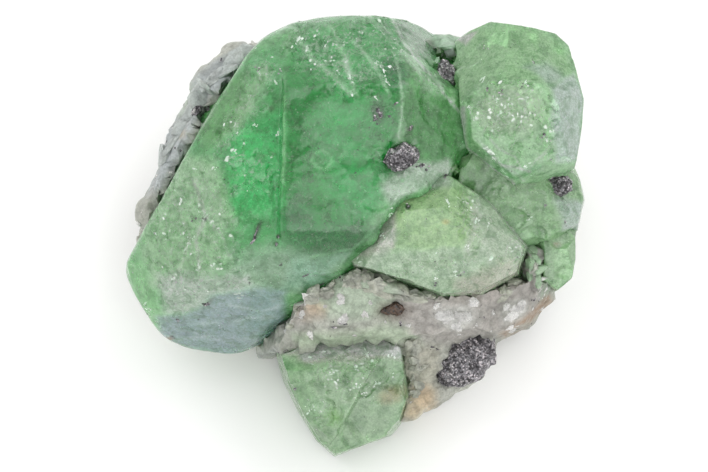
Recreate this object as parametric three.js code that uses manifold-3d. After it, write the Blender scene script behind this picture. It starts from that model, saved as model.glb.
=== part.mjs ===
// A cluster of tsavorite garnet crystals on a loose piece of pale, graphite-bearing rock.
//
// Lengths are millimetres. Every piece is described in the display frame: u to the right and v up
// across the face that is shown, and w out of it. The cluster is leaned back by LEAN, so that it
// rests on the flat break at the bottom of its rock, with +Z up.
import * as THREE from "three";
import { mergeVertices } from "three/addons/utils/BufferGeometryUtils.js";
import { ImprovedNoise } from "three/addons/math/ImprovedNoise.js";
import Module from "manifold-3d";

const LEAN = 22; // degrees between the display face's normal and straight up
const REST_DROP = 7.0; // height of the display frame's origin over the flat break
const SHIFT_X = 0.06; // where the display frame's origin lies, seen from above
const SHIFT_Y = -0.52;
const SEAM = 0.3; // gap between a piece and the socket it sits in
const BLOCK = 80; // side of the block that makes a flat cut, larger than the whole cluster

// How a broken surface departs from flat: the longest edge of its triangles, the most it moves,
// and the size of its bumps.
const ROUGH_GRAIN = { edge: 0.8, height: 0.2, grain: 0.7 };
const ROUGH_ROCK = { edge: 1.15, height: 0.35, grain: 1.7 };
const ROCK_SEED = 71.9;
const AXIS_STEP = 17.3; // keeps the noise of the three axes apart
const FINE_SCALE = 2.3; // how much smaller the fine bumps are than the coarse ones
const FINE_SHARE = 0.45; // and how high they stand, as a share
const WELD = 1e-4; // points nearer than this are one point
const LUMP_DETAIL = 2; // how often the faces of an icosahedron are split for a lump of rock
const GRAIN_DETAIL = 1; // and for a grain

// The crystals and the blocks of rock. An outline is the rim of the piece, as points [u, v] in
// counterclockwise order at the level w, and the sides through it have the tilt. The other faces
// are [azimuth, tilt, distance from the centre]: the azimuth is counted from u, the tilt from w.
// The rounded deep green crystal, with a broken front face.
const LARGE_CRYSTAL = {
  centre: [-2.7, 2.7, -1.0],
  level: -1.0,
  tilt: 88,
  outline: [
    [5.5, 4.2],
    [5.5, 6.6],
    [5.2, 8.6],
    [4.5, 9.9],
    [3.7, 10.5],
    [1.0, 10.8],
    [-1.5, 10.7],
    [-3.2, 10.4],
    [-4.5, 9.7],
    [-5.4, 8.7],
    [-6.9, 6.4],
    [-11.4, -1.6],
    [-11.0, -2.6],
    [-9.8, -4.6],
    [-8.8, -5.4],
    [-6.8, -5.8],
    [-4.5, -5.9],
    [-3.7, -5.7],
    [4.6, 2.0],
  ],
  faces: [
    [300, 5, 6.3], // the broken face that looks at the viewer
    [178, 17, 6.2], // left of the ridge down its middle
    [184, 38, 6.5],
    [205, 50, 7.6],
    [150, 42, 6.3],
    [112, 44, 7.3],
    [85, 38, 8.0],
    [66, 50, 8.8],
    [48, 72, 8.85],
    [5, 42, 8.3], // the darker face on the right
    [300, 80, 5.6], // down to the band of rock
    [272, 40, 6.3],
    [262, 55, 6.65], // the smooth grey-blue face at the bottom
    [235, 64, 8.8],
    [300, 55, 7.2],
    [90, 128, 7.0],
    [150, 125, 6.1],
    [205, 125, 8.9],
    [240, 125, 9.1],
    [270, 130, 7.4],
    [0, 125, 7.0],
    [0, 180, 2.4],
  ],
};

// The pale crystal that stands proud at the upper right, with a six-sided front face.
const CORNER_CRYSTAL = {
  centre: [8.05, 6.2, -0.2],
  level: 0.4,
  tilt: 89,
  outline: [
    [11.0, 5.2],
    [11.1, 6.7],
    [10.7, 8.1],
    [10.4, 9.2],
    [9.7, 9.8],
    [7.9, 10.2],
    [6.6, 10.4],
    [5.6, 10.0],
    [4.9, 9.5],
    [5.0, 5.8],
    [5.3, 4.2],
    [7.6, 2.4],
    [8.8, 2.6],
    [10.6, 3.2],
  ],
  faces: [
    [262, 10, 4.2],
    [85, 38, 4.26],
    [135, 50, 4.0],
    [40, 50, 3.87],
    [0, 55, 3.87],
    [190, 60, 4.3],
    [232, 60, 4.34],
    [290, 62, 4.33],
    [90, 130, 3.6],
    [210, 130, 3.6],
    [330, 130, 3.6],
    [0, 180, 3.2],
  ],
};

// The yellowish crystal that leans on the lower right of the large one.
const MIDDLE_CRYSTAL = {
  centre: [4.0, 0.0, 0.8],
  level: 0.8,
  tilt: 84,
  outline: [
    [8.4, -0.5],
    [6.6, 1.8],
    [4.7, 3.1],
    [3.2, 3.4],
    [1.5, 2.6],
    [-0.5, -1.2],
    [-0.2, -1.7],
    [4.2, -3.1],
    [6.2, -2.9],
    [8.0, -1.9],
  ],
  faces: [
    [255, 12, 4.1], // the panel that looks at the viewer
    [10, 26, 4.79], // the facet on its right
    [153, 50, 4.3],
    [98, 50, 3.9],
    [44, 48, 3.8],
    [272, 42, 4.1],
    [315, 62, 4.6],
    [0, 180, 3.4],
  ],
};

// The pale block at the bottom.
const LOWER_CRYSTAL = {
  centre: [-0.4, -7.6, -2.0],
  level: -1.6,
  tilt: 86,
  outline: [
    [2.7, -7.8],
    [2.4, -5.3],
    [1.0, -4.5],
    [0.0, -4.6],
    [-2.7, -5.2],
    [-3.8, -5.7],
    [-3.4, -7.2],
    [-2.7, -8.7],
    [-1.8, -10.1],
    [-1.0, -10.8],
    [1.7, -9.8],
    [2.2, -9.2],
  ],
  faces: [
    [240, 12, 3.9],
    [330, 30, 4.0],
    [95, 45, 3.7],
    [225, 50, 3.9],
    [290, 50, 3.8],
    [270, 158, 1.9],
    [90, 140, 3.0],
  ],
};

// The crystal between the corner crystal and the small one.
const EDGE_CRYSTAL = {
  centre: [8.4, 1.8, -1.4],
  level: -1.0,
  tilt: 86,
  outline: [
    [11.2, 1.8],
    [11.0, 2.7],
    [10.5, 3.9],
    [5.2, 4.4],
    [4.6, 3.0],
    [6.5, 0.6],
    [8.8, -0.6],
    [10.8, -0.1],
  ],
  faces: [
    [300, 20, 3.2],
    [20, 50, 3.0],
    [60, 52, 3.4],
    [320, 60, 3.1],
    [270, 60, 3.0],
    [0, 180, 1.6],
  ],
};

// The small block at the right edge.
const SMALL_CRYSTAL = {
  centre: [9.9, -1.2, -1.6],
  level: -1.6,
  tilt: 88,
  outline: [
    [10.8, -1.2],
    [10.8, 0.0],
    [9.6, 0.3],
    [9.1, -0.6],
    [9.1, -2.2],
    [9.9, -2.7],
    [10.6, -2.1],
  ],
  faces: [
    [260, 18, 2.3],
    [95, 60, 1.8],
    [5, 60, 1.7],
    [310, 62, 1.9],
    [0, 180, 1.6],
  ],
};

// The rock under all the crystals.
const BASE_ROCK = {
  centre: [0.0, 1.0, -3.2],
  level: -3.0,
  tilt: 86,
  outline: [
    [10.4, 0.5],
    [10.3, 2.8],
    [9.9, 6.5],
    [8.8, 9.0],
    [6.0, 9.8],
    [1.0, 10.3],
    [-3.2, 10.0],
    [-5.0, 9.7],
    [-6.9, 8.7],
    [-8.2, 6.8],
    [-9.4, 3.9],
    [-10.5, 1.2],
    [-11.0, -1.2],
    [-9.8, -3.8],
    [-8.2, -4.5],
    [-3.6, -4.8],
    [6.9, -4.8],
    [8.5, -4.0],
    [9.4, -3.2],
    [9.9, -2.0],
  ],
  faces: [
    [0, 0, 2.6],
    [55, 120, 9.4],
    [90, 112, 8.8],
    [125, 120, 9.0],
    [180, 125, 9.4],
    [240, 130, 7.0],
    [300, 130, 6.8],
    [0, 125, 9.5],
  ],
};

// The rock that reaches down under the lower crystal.
const LOWER_ROCK = {
  centre: [2.0, -6.0, -3.0],
  level: -2.6,
  tilt: 87,
  outline: [
    [6.6, -6.2],
    [7.0, -5.5],
    [7.1, -4.7],
    [5.0, -3.0],
    [-2.8, -4.4],
    [-3.0, -6.4],
    [-1.9, -9.2],
    [-0.8, -9.9],
    [1.9, -9.4],
    [3.4, -8.6],
    [6.0, -6.9],
  ],
  faces: [
    [300, 25, 3.0],
    [250, 140, 3.2],
    [320, 130, 4.4],
    [0, 180, 5.0],
  ],
};

// The pale band of rock between the large, middle and lower crystals.
const ROCK_BAND = {
  centre: [1.6, -3.4, -0.6],
  level: 0.0,
  tilt: 80,
  outline: [
    [9.2, -2.9],
    [8.4, -1.2],
    [-0.5, -1.6],
    [-2.8, -2.6],
    [-3.9, -5.4],
    [2.5, -5.2],
    [6.9, -4.7],
    [8.3, -4.0],
  ],
  faces: [
    [285, 26, 2.9],
    [225, 45, 4.2],
    [330, 24, 3.2],
    [0, 180, 4.0],
  ],
};

// Lumps of the rock along the left rim of the large crystal and at the right edge, as
// [u, v, w, radius].
const ROCK_LUMPS = [
  [-5.2, 7.9, -1.2, 1.7],
  [-6.5, 6.8, -1.1, 1.75],
  [-7.3, 5.3, -1.1, 1.5],
  [-8.0, 4.1, -1.3, 1.4],
  [-9.6, 0.9, -1.6, 1.4],
  [-10.0, -0.6, -2.2, 1.3],
  [10.0, 1.6, -0.8, 1.25],
  [9.2, 2.9, 0.2, 1.2],
  [8.7, -1.6, -0.7, 1.3],
];

// Grains of graphite and one dark grain, sunk in sockets of the rock and the crystals.
const GRAINS = {
  graphite_lump: { centre: [5.4, -6.0, -1.2], size: [1.8, 1.35, 1.2], turn: 38, seed: 5.3 },
  graphite_knob: { centre: [2.2, 3.7, 5.0], size: [0.95, 0.7, 0.7], turn: 20, seed: 9.1 },
  graphite_flake_right: { centre: [9.9, 2.6, 1.2], size: [0.7, 0.8, 0.5], turn: 30, seed: 14.7 },
  graphite_flake_top: { centre: [4.5, 7.9, 1.3], size: [0.5, 0.85, 0.6], turn: 25, seed: 19.9 },
  graphite_flake_left: { centre: [-7.5, 6.2, 0.3], size: [0.75, 0.35, 0.45], turn: 55, seed: 26.3 },
  dark_grain: { centre: [1.8, -3.5, 2.4], size: [0.65, 0.4, 0.4], turn: 10, seed: 33.1 },
};

// Front crystals come first, because each later piece is cut to fit round the earlier ones.
const CRYSTALS = {
  middle_crystal: { shape: MIDDLE_CRYSTAL, color: 0x9cc494 },
  corner_crystal: { shape: CORNER_CRYSTAL, color: 0x8fc49a },
  lower_crystal: { shape: LOWER_CRYSTAL, color: 0x8fb894 },
  large_crystal: { shape: LARGE_CRYSTAL, color: 0x3f9a5c },
  small_crystal: { shape: SMALL_CRYSTAL, color: 0x9cc594 },
  edge_crystal: { shape: EDGE_CRYSTAL, color: 0x93b48e },
};

// Ledges broken out of the crystals: what lies beyond all of the faces is gone. The large
// crystal has a step beside the ridge down its middle.
const LEDGES = {
  large_crystal: [
    [
      [178, 80, 1.85],
      [180, 4, 5.4],
      [270, 75, -4.2],
    ],
  ],
  lower_crystal: [
    [
      [330, 80, 1.2],
      [320, 12, 3.2],
    ],
  ],
};
const ROCK_BLOCKS = [BASE_ROCK, LOWER_ROCK, ROCK_BAND];
const GRAPHITE = { color: 0x4c4a50, roughness: 0.35, metalness: 0.6 };
const DARK_GRAIN = { color: 0x2e2522, roughness: 0.4, metalness: 0 };
const ROCK = { color: 0xb9b5ae, roughness: 0.7, metalness: 0 };

const noise = new ImprovedNoise();
const wasm = await Module();
wasm.setup();

// A direction in the display frame: tilt degrees away from w, towards the azimuth counted from u.
function direction(azimuth, tilt) {
  const a = THREE.MathUtils.degToRad(azimuth);
  const t = THREE.MathUtils.degToRad(tilt);
  return new THREE.Vector3(Math.sin(t) * Math.cos(a), Math.sin(t) * Math.sin(a), Math.cos(t));
}

function solidOf(geometry) {
  const bare = geometry.clone();
  bare.deleteAttribute("normal");
  bare.deleteAttribute("uv");
  const merged = mergeVertices(bare, WELD);
  return new wasm.Manifold(
    new wasm.Mesh({
      numProp: 3,
      vertProperties: merged.attributes.position.array,
      triVerts: new Uint32Array(merged.index.array),
    }),
  );
}

function geometryOf(solid) {
  const mesh = solid.getMesh();
  const geometry = new THREE.BufferGeometry();
  geometry.setAttribute("position", new THREE.BufferAttribute(mesh.vertProperties, 3));
  geometry.setIndex(new THREE.BufferAttribute(mesh.triVerts, 1));
  return geometry;
}

// Everything beyond the plane that lies distance from point along normal.
function beyond(point, normal, distance) {
  const block = new THREE.BoxGeometry(BLOCK, BLOCK, BLOCK).translate(0, 0, BLOCK / 2 + distance);
  block.applyQuaternion(new THREE.Quaternion().setFromUnitVectors(new THREE.Vector3(0, 0, 1), normal));
  return solidOf(block.translate(point.x, point.y, point.z));
}

// A crystal or block bounded by flat faces. Swell moves every face outwards.
function faceted({ centre, outline, level, tilt, faces }, swell = 0) {
  const middle = new THREE.Vector3(...centre);
  let solid = solidOf(new THREE.BoxGeometry(BLOCK / 2, BLOCK / 2, BLOCK / 2).translate(...centre));
  outline.forEach(([u, v], i) => {
    const [nextU, nextV] = outline[(i + 1) % outline.length];
    const azimuth = THREE.MathUtils.radToDeg(Math.atan2(u - nextU, nextV - v));
    solid = solid.subtract(beyond(new THREE.Vector3(u, v, level), direction(azimuth, tilt), swell));
  });
  for (const [azimuth, faceTilt, distance] of faces) {
    solid = solid.subtract(beyond(middle, direction(azimuth, faceTilt), distance + swell));
  }
  return solid;
}

// Breaks ledges out of a crystal. Each ledge is the block beyond all of its faces.
function stepped(solid, { centre }, ledges = []) {
  const middle = new THREE.Vector3(...centre);
  const blocks = ledges.map((faces) =>
    faces
      .map(([azimuth, tilt, distance]) => beyond(middle, direction(azimuth, tilt), distance))
      .reduce((left, block) => left.intersect(block)),
  );
  return blocks.reduce((left, block) => left.subtract(block), solid);
}

// Splits every edge longer than the limit at its middle, the same way in both of its triangles.
function refined(geometry, limit) {
  const points = [];
  const position = geometry.attributes.position;
  for (let i = 0; i < position.count; i++) {
    points.push(new THREE.Vector3().fromBufferAttribute(position, i));
  }
  let triangles = [];
  for (let i = 0; i < geometry.index.count; i += 3) {
    triangles.push([0, 1, 2].map((k) => geometry.index.getX(i + k)));
  }
  for (let split = true; split; ) {
    split = false;
    const middles = new Map();
    const middleOf = (a, b) => {
      if (points[a].distanceTo(points[b]) <= limit) return -1;
      const key = Math.min(a, b) + "_" + Math.max(a, b);
      if (!middles.has(key)) {
        middles.set(key, points.length);
        points.push(points[a].clone().add(points[b]).multiplyScalar(0.5));
      }
      split = true;
      return middles.get(key);
    };
    triangles = triangles.flatMap((corners) => splitTriangle(corners, middleOf, points));
  }
  const made = new THREE.BufferGeometry().setFromPoints(points);
  made.setIndex(triangles.flat());
  return made;
}

// The 1 to 4 triangles that a triangle becomes once its long edges are split.
function splitTriangle([a, b, c], middleOf, points) {
  const [ab, bc, ca] = [middleOf(a, b), middleOf(b, c), middleOf(c, a)];
  const count = [ab, bc, ca].filter((m) => m >= 0).length;
  if (count === 0) return [[a, b, c]];
  if (count === 3) return [[a, ab, ca], [ab, b, bc], [ca, bc, c], [ab, bc, ca]];
  if (count === 1) {
    if (ab >= 0) return [[a, ab, c], [ab, b, c]];
    if (bc >= 0) return [[a, b, bc], [a, bc, c]];
    return [[a, b, ca], [ca, b, c]];
  }
  if (ab < 0) return quadTriangles(a, b, bc, ca, points).concat([[ca, bc, c]]);
  if (bc < 0) return quadTriangles(b, c, ca, ab, points).concat([[ab, ca, a]]);
  return quadTriangles(c, a, ab, bc, points).concat([[bc, ab, b]]);
}

function quadTriangles(a, b, c, d, points) {
  const first = points[a].distanceTo(points[c]);
  const second = points[b].distanceTo(points[d]);
  return first < second ? [[a, b, c], [a, c, d]] : [[a, b, d], [b, c, d]];
}

// Pushes the surface about by a smooth field: height is the most it moves, grain the size of a bump.
function roughened(solid, { edge, height, grain, seed }) {
  const geometry = refined(geometryOf(solid), edge);
  const position = geometry.attributes.position;
  const p = new THREE.Vector3();
  for (let i = 0; i < position.count; i++) {
    p.fromBufferAttribute(position, i);
    const moved = [0, 1, 2].map((axis) => {
      const at = seed + AXIS_STEP * axis;
      const q = p.clone().divideScalar(grain);
      const r = q.clone().multiplyScalar(FINE_SCALE);
      const coarse = noise.noise(q.x + at, q.y + at, q.z - at);
      const fine = noise.noise(r.x - at, r.y, r.z + at);
      return height * (coarse + FINE_SHARE * fine);
    });
    position.setXYZ(i, p.x + moved[0], p.y + moved[1], p.z + moved[2]);
  }
  return solidOf(geometry);
}

// The biggest body of a solid, without the crumbs that cutting leaves beside it.
function whole(solid) {
  const bodies = solid.decompose();
  return bodies.reduce((best, body) => (body.volume() > best.volume() ? body : best));
}

function lump([u, v, w, radius]) {
  return solidOf(new THREE.IcosahedronGeometry(radius, LUMP_DETAIL).translate(u, v, w));
}

// A grain of graphite: a rounded block turned about w.
function grainSolid({ centre, size, turn }, swell = 0) {
  const ball = new THREE.IcosahedronGeometry(1, GRAIN_DETAIL);
  ball.scale(...size.map((radius) => radius + swell));
  ball.rotateZ(THREE.MathUtils.degToRad(turn));
  return solidOf(ball.translate(...centre));
}

// The solid without the room that its neighbours take.
function fitted(solid, neighbours) {
  const rest = neighbours.reduce((left, neighbour) => left.subtract(neighbour), solid);
  return whole(rest);
}

const specimen = new THREE.Group();
specimen.rotation.x = THREE.MathUtils.degToRad(LEAN);
specimen.position.set(SHIFT_X, SHIFT_Y, REST_DROP);

function addPiece(name, solid, look) {
  const mesh = new THREE.Mesh(geometryOf(solid), new THREE.MeshStandardMaterial(look));
  mesh.name = name;
  specimen.add(mesh);
}

const sockets = [];
for (const [name, grain] of Object.entries(GRAINS)) {
  const look = name === "dark_grain" ? DARK_GRAIN : GRAPHITE;
  addPiece(name, roughened(grainSolid(grain), { ...ROUGH_GRAIN, seed: grain.seed }), look);
  sockets.push(grainSolid(grain, SEAM));
}

for (const [name, { shape, color }] of Object.entries(CRYSTALS)) {
  const grown = stepped(faceted(shape), shape, LEDGES[name]);
  addPiece(name, fitted(grown, sockets), { color, roughness: 0.2, metalness: 0 });
  sockets.push(faceted(shape, SEAM));
}

// The floor's plane in the display frame makes the flat break that the rock rests on.
const down = direction(270, 180 - LEAN);
const blocks = ROCK_BLOCKS.map((block) => faceted(block)).concat(ROCK_LUMPS.map(lump));
const joined = blocks.reduce((all, block) => all.add(block));
const broken = roughened(joined, { ...ROUGH_ROCK, seed: ROCK_SEED });
const cut = broken.subtract(beyond(new THREE.Vector3(), down, REST_DROP));
addPiece("matrix", fitted(cut, sockets), ROCK);

export default specimen;
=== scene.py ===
import math

import bpy
import numpy as np
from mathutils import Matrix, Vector, noise
from mathutils.bvhtree import BVHTree
from mathutils.kdtree import KDTree


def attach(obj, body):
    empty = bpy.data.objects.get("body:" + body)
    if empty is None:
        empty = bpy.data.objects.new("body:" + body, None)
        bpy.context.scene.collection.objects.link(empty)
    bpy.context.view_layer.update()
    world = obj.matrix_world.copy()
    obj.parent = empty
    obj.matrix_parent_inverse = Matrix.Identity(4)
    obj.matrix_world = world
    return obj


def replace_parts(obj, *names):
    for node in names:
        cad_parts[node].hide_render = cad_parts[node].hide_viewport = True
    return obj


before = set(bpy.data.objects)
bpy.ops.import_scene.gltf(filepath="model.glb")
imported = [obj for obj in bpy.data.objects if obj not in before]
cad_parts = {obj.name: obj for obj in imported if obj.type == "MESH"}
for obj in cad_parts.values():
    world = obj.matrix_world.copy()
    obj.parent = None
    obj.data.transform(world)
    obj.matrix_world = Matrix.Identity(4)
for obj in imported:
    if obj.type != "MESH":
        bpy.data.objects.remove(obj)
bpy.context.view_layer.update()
scene = bpy.context.scene

MM = 0.001
LEAN = math.radians(22)  # the picture is taken this far off straight down
SHIFT = np.array([0.06, -0.52, 7.0])  # middle of the display frame, mm
DISTANCE = 200.0  # camera to the middle of the specimen, mm
PICTURE_SCALE = 20.5  # picture dots per millimetre at the middle of the specimen
PICTURE_MIDDLE = np.array([355.0, 236.0])
PICTURE_WIDTH = 708
SEAM_REACH = 0.5  # joints narrower than this are closed, mm
SEAM_FADE = 0.3  # share of that reach over which the pull grows
SWIRL = 5.0  # how far the edge of a mark may wander, in picture dots
BITE = 0.03  # how far a closed joint reaches into its neighbour, mm
FLAT = 0.9998  # cosine from which a corner counts as flat
SLIVER = 1e-7  # faces smaller than this have no sure normal, mm2
RELAX_STEP = 0.6  # how far a point moves towards the mean of its neighbours
TURNED = (-0.15, 0.2)  # part of the normal towards the viewer, from turned away to facing


# Frames: "display" is u right, v up, w towards the viewer, in mm.

def to_display(world):
    x, y, z = (world / MM - SHIFT).T
    return np.stack([x, y * math.cos(LEAN) + z * math.sin(LEAN),
                     -y * math.sin(LEAN) + z * math.cos(LEAN)], axis=1)


def to_world(points):
    u, v, w = points.T
    out = np.stack([u, v * math.cos(LEAN) - w * math.sin(LEAN),
                    v * math.sin(LEAN) + w * math.cos(LEAN)], axis=1)
    return (out + SHIFT) * MM


def to_picture(points):
    near = DISTANCE / (DISTANCE - points[:, 2])
    x = PICTURE_MIDDLE[0] + PICTURE_SCALE * points[:, 0] * near
    y = PICTURE_MIDDLE[1] - PICTURE_SCALE * points[:, 1] * near
    return x, y


def from_picture(x, y, w):
    near = DISTANCE / (DISTANCE - w)
    return np.array([(x - PICTURE_MIDDLE[0]) / PICTURE_SCALE / near,
                     (PICTURE_MIDDLE[1] - y) / PICTURE_SCALE / near, w])


# Mesh tools.

def node_mesh(name):
    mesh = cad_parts[name].data
    co = np.zeros(len(mesh.vertices) * 3)
    mesh.vertices.foreach_get("co", co)
    mesh.calc_loop_triangles()
    tri = np.zeros(len(mesh.loop_triangles) * 3, int)
    mesh.loop_triangles.foreach_get("vertices", tri)
    points = to_display(co.reshape(-1, 3))
    _, first, index = np.unique(np.round(points * 1e3).astype(int), axis=0,
                                   return_index=True, return_inverse=True)
    faces = index.reshape(-1)[tri].reshape(-1, 3)
    good = (faces[:, 0] != faces[:, 1]) & (faces[:, 1] != faces[:, 2]) & (faces[:, 2] != faces[:, 0])
    return points[first], faces[good]


def refine(points, faces, limit, back_limit):
    """Splits every edge longer than limit, again and again, so that neighbours still share edges.
    Edges of faces that are all turned away from the viewer may stay as long as back_limit."""
    while True:
        edges, index = edges_of(faces)
        ends = points[edges]
        allowed = np.full(len(edges), back_limit)
        allowed[index[face_normals(points, faces)[:, 2] > 0].ravel()] = limit
        long = np.linalg.norm(ends[:, 0] - ends[:, 1], axis=1) > allowed
        if not long.any():
            return points, faces
        middle = np.full(len(edges), -1)
        middle[long] = len(points) + np.arange(long.sum())
        points = np.vstack([points, ends[long].mean(axis=1)])
        cut = middle[index]
        count = (cut >= 0).sum(axis=1)
        out = [faces[count == 0]]
        for turn in range(3):
            a, b, c = np.roll(faces, -turn, axis=1).T
            ab, bc, ca = np.roll(cut, -turn, axis=1).T
            one = (count == 1) & (ab >= 0)
            two = (count == 2) & (ca < 0)
            out += [np.stack(part, 1) for part in (
                (a[one], ab[one], c[one]), (ab[one], b[one], c[one]), (ab[two], b[two], bc[two]),
                (a[two], ab[two], bc[two]), (a[two], bc[two], c[two]))]
        all3 = count == 3
        a, b, c = faces[all3].T
        ab, bc, ca = cut[all3].T
        out += [np.stack(part, 1) for part in ((a, ab, ca), (ab, b, bc), (ca, bc, c), (ab, bc, ca))]
        faces = np.concatenate(out)


def draws(seed):
    return np.random.default_rng(seed)


def unit(rows):
    return rows / np.maximum(np.linalg.norm(rows, axis=-1, keepdims=True), 1e-12)


def face_normals(points, faces):
    """Normals of the faces, each twice as long as its face is large."""
    a, b, c = points[faces].transpose(1, 0, 2)
    return np.cross(b - a, c - a)


def edges_of(faces):
    """Every edge once, as two point numbers, and for each face the numbers of its three edges."""
    sides = np.sort(faces[:, [0, 1, 1, 2, 2, 0]].reshape(-1, 2), axis=1).astype(np.int64)
    base = sides.max() + 1
    keys, index = np.unique(sides[:, 0] * base + sides[:, 1], return_inverse=True)
    return np.stack([keys // base, keys % base], axis=1), index.reshape(-1, 3)


def summed(index, values, count):
    return np.stack([np.bincount(index, weights=v, minlength=count) for v in values.T], axis=1)


def normals_of(points, faces):
    return unit(summed(faces.ravel(), np.repeat(face_normals(points, faces), 3, axis=0), len(points)))


def relax(points, faces, rounds, keep_edges=False):
    """Evens out a mesh. With keep_edges only points inside flat faces move, so corners stay sharp."""
    edges = edges_of(faces)[0]
    count = np.bincount(edges.ravel(), minlength=len(points))[:, None]
    free = np.ones(len(points), bool)
    if keep_edges:
        face = face_normals(points, faces)
        mean = normals_of(points, faces)
        good = np.linalg.norm(face, axis=1) > SLIVER
        for k in range(3):
            bent = good & ((unit(face) * mean[faces[:, k]]).sum(axis=1) < FLAT)
            free[faces[bent, k]] = False
    for _ in range(rounds):
        total = summed(edges.ravel(), points[edges[:, ::-1].ravel()], len(points))
        moved = points + (total / np.maximum(count, 1) - points) * RELAX_STEP
        points = np.where(free[:, None], moved, points)
    return points


def tree_of(parts):
    points, faces, start = [], [], 0
    for p, f in parts:
        points.append(p)
        faces.append(f + start)
        start += len(p)
    return BVHTree.FromPolygons(np.concatenate(points).tolist(), np.concatenate(faces).tolist())


def close_seams(points, neighbours):
    """Points close to a neighbour move onto it and a little into it, so no gap is left."""
    tree = tree_of(neighbours)
    out = points.copy()
    for i, p in enumerate(points.tolist()):
        near, normal, _, far = tree.find_nearest(p, SEAM_REACH)
        if near is None:
            continue
        step = Vector(near) - Vector(p)
        inside = step.dot(normal) > 0
        if inside and far > BITE:
            continue
        pull = min(1.0, (SEAM_REACH - far) / (SEAM_REACH * SEAM_FADE))
        goal = Vector(near) - normal * BITE
        out[i] = Vector(p).lerp(goal, pull)
    return out


# Noise, all in mm.

def perlin(points, size, offset=0.0):
    return np.array([noise.noise(q) for q in (points / size + offset).tolist()])


def fractal(points, size, octaves=4, offset=0.0):
    out = np.zeros(len(points))
    for k in range(octaves):
        out += perlin(points, size / 2 ** k, offset + 7.3 * k) / 2 ** k
    return out


def cells(points, size, offset=0.0):
    """Distance to the nearest and to the second nearest cell middle, in cell sizes."""
    found = [noise.voronoi(q)[0][:2] for q in (points / size + offset).tolist()]
    return np.array(found)


def smooth(low, high, value):
    t = np.clip((value - low) / (high - low), 0, 1)
    return t * t * (3 - 2 * t)


# Marks: places given in picture dots, carried by the surface that faces the viewer.

def spot(x, y, rx, ry, turn=0.0):
    c, s = math.cos(math.radians(turn)), math.sin(math.radians(turn))

    def field(px, py):
        dx, dy = px - x, py - y
        a = (dx * c - dy * s) / rx
        b = (dx * s + dy * c) / ry
        return (np.sqrt(a * a + b * b) - 1) * min(rx, ry)
    return field


def pairs(numbers):
    return list(zip(numbers[::2], numbers[1::2]))


def path(width, *numbers):
    corners = pairs(numbers)

    def field(px, py):
        best = np.full(len(px), 1e9)
        for (x0, y0), (x1, y1) in zip(corners, corners[1:]):
            ex, ey = x1 - x0, y1 - y0
            t = np.clip(((px - x0) * ex + (py - y0) * ey) / (ex * ex + ey * ey), 0, 1)
            best = np.minimum(best, np.hypot(px - x0 - t * ex, py - y0 - t * ey))
        return best - width / 2
    return field


def area(*numbers):
    ring = pairs(numbers + numbers[:2])
    edge = path(0.0, *numbers, *numbers[:2])

    def field(px, py):
        inside = np.zeros(len(px), bool)
        for (x0, y0), (x1, y1) in zip(ring, ring[1:]):
            if y0 != y1:
                crosses = (y0 > py) != (y1 > py)
                inside ^= crosses & (px < (x1 - x0) * (py - y0) / (y1 - y0) + x0)
        return np.where(inside, -1, 1) * edge(px, py)
    return field


def linear(colour):
    c = np.array(colour, float) / 255
    return np.where(c <= 0.04045, c / 12.92, ((c + 0.055) / 1.055) ** 2.4)


def weight(field, px, py, soft):
    return smooth(soft, -soft, field(px, py))


def facing_of(points, faces):
    return smooth(*TURNED, normals_of(points, faces)[:, 2])


def painted(points, faces, base, marks, gain):
    """Colours of the points: the base colour, then each mark on the surface facing the viewer."""
    px, py = to_picture(points)
    wx = fractal(points, 1.6, 2, 3.1)
    wy = fractal(points, 1.6, 2, 51.7)
    facing = facing_of(points, faces)
    colour = linear(base) * (1 + 0.25 * fractal(points, 4.0, 2, 11.0)[:, None])
    for field, shade, strength, soft in marks:
        loose = min(soft, SWIRL)
        w = weight(field, px + wx * loose, py + wy * loose, soft) * strength * facing
        colour = colour * (1 - w[:, None]) + linear(shade) * w[:, None]
    return np.clip(colour * gain, 0, BRIGHTEST)


def level(points, faces, marks):
    """Strength from 0 up at each point: that of the strongest mark there."""
    px, py = to_picture(points)
    wobble = fractal(points, 1.2, 2, 23.0)
    facing = facing_of(points, faces)
    out = np.zeros(len(points))
    for field, strength, soft in marks:
        loose = wobble * min(soft, SWIRL)
        w = weight(field, px + loose, py - loose, soft)
        out = np.maximum(out, w * strength * facing)
    return out


# Relief.

def chipped(points, faces, seed, count, reach, depth, where=None):
    """Small flat breaks: near each one the surface is cut back to a tilted plane."""
    rng = draws(seed)
    normal = normals_of(points, faces)
    choice = np.arange(len(points)) if where is None else np.flatnonzero(where > rng.random(len(points)))
    if len(choice) == 0:
        return points
    out = points.copy()
    tree = KDTree(len(points))
    for i, p in enumerate(points.tolist()):
        tree.insert(p, i)
    tree.balance()
    for i in rng.choice(choice, size=min(count, len(choice)), replace=False):
        centre, n = points[i], normal[i]
        tilt = rng.normal(size=3)
        tilt -= n * (tilt @ n)
        plane = unit(n + unit(tilt) * rng.uniform(0.15, 0.5))
        r = reach * rng.uniform(0.5, 1.3)
        near = np.array([found[1] for found in tree.find_range(centre, r)])
        offset = out[near] - centre
        far = np.linalg.norm(offset, axis=1)
        height = offset @ plane + depth * rng.uniform(0.2, 1.0)
        cut = np.clip(height, 0, depth * 3) * smooth(r, r * 0.8, far)
        out[near] -= plane * cut[:, None]
    return out


def along_normals(points, faces, amount):
    return points + normals_of(points, faces) * amount[:, None]


# Objects.

def add_object(name, data):
    obj = bpy.data.objects.new(name, data)
    scene.collection.objects.link(obj)
    return obj


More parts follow.
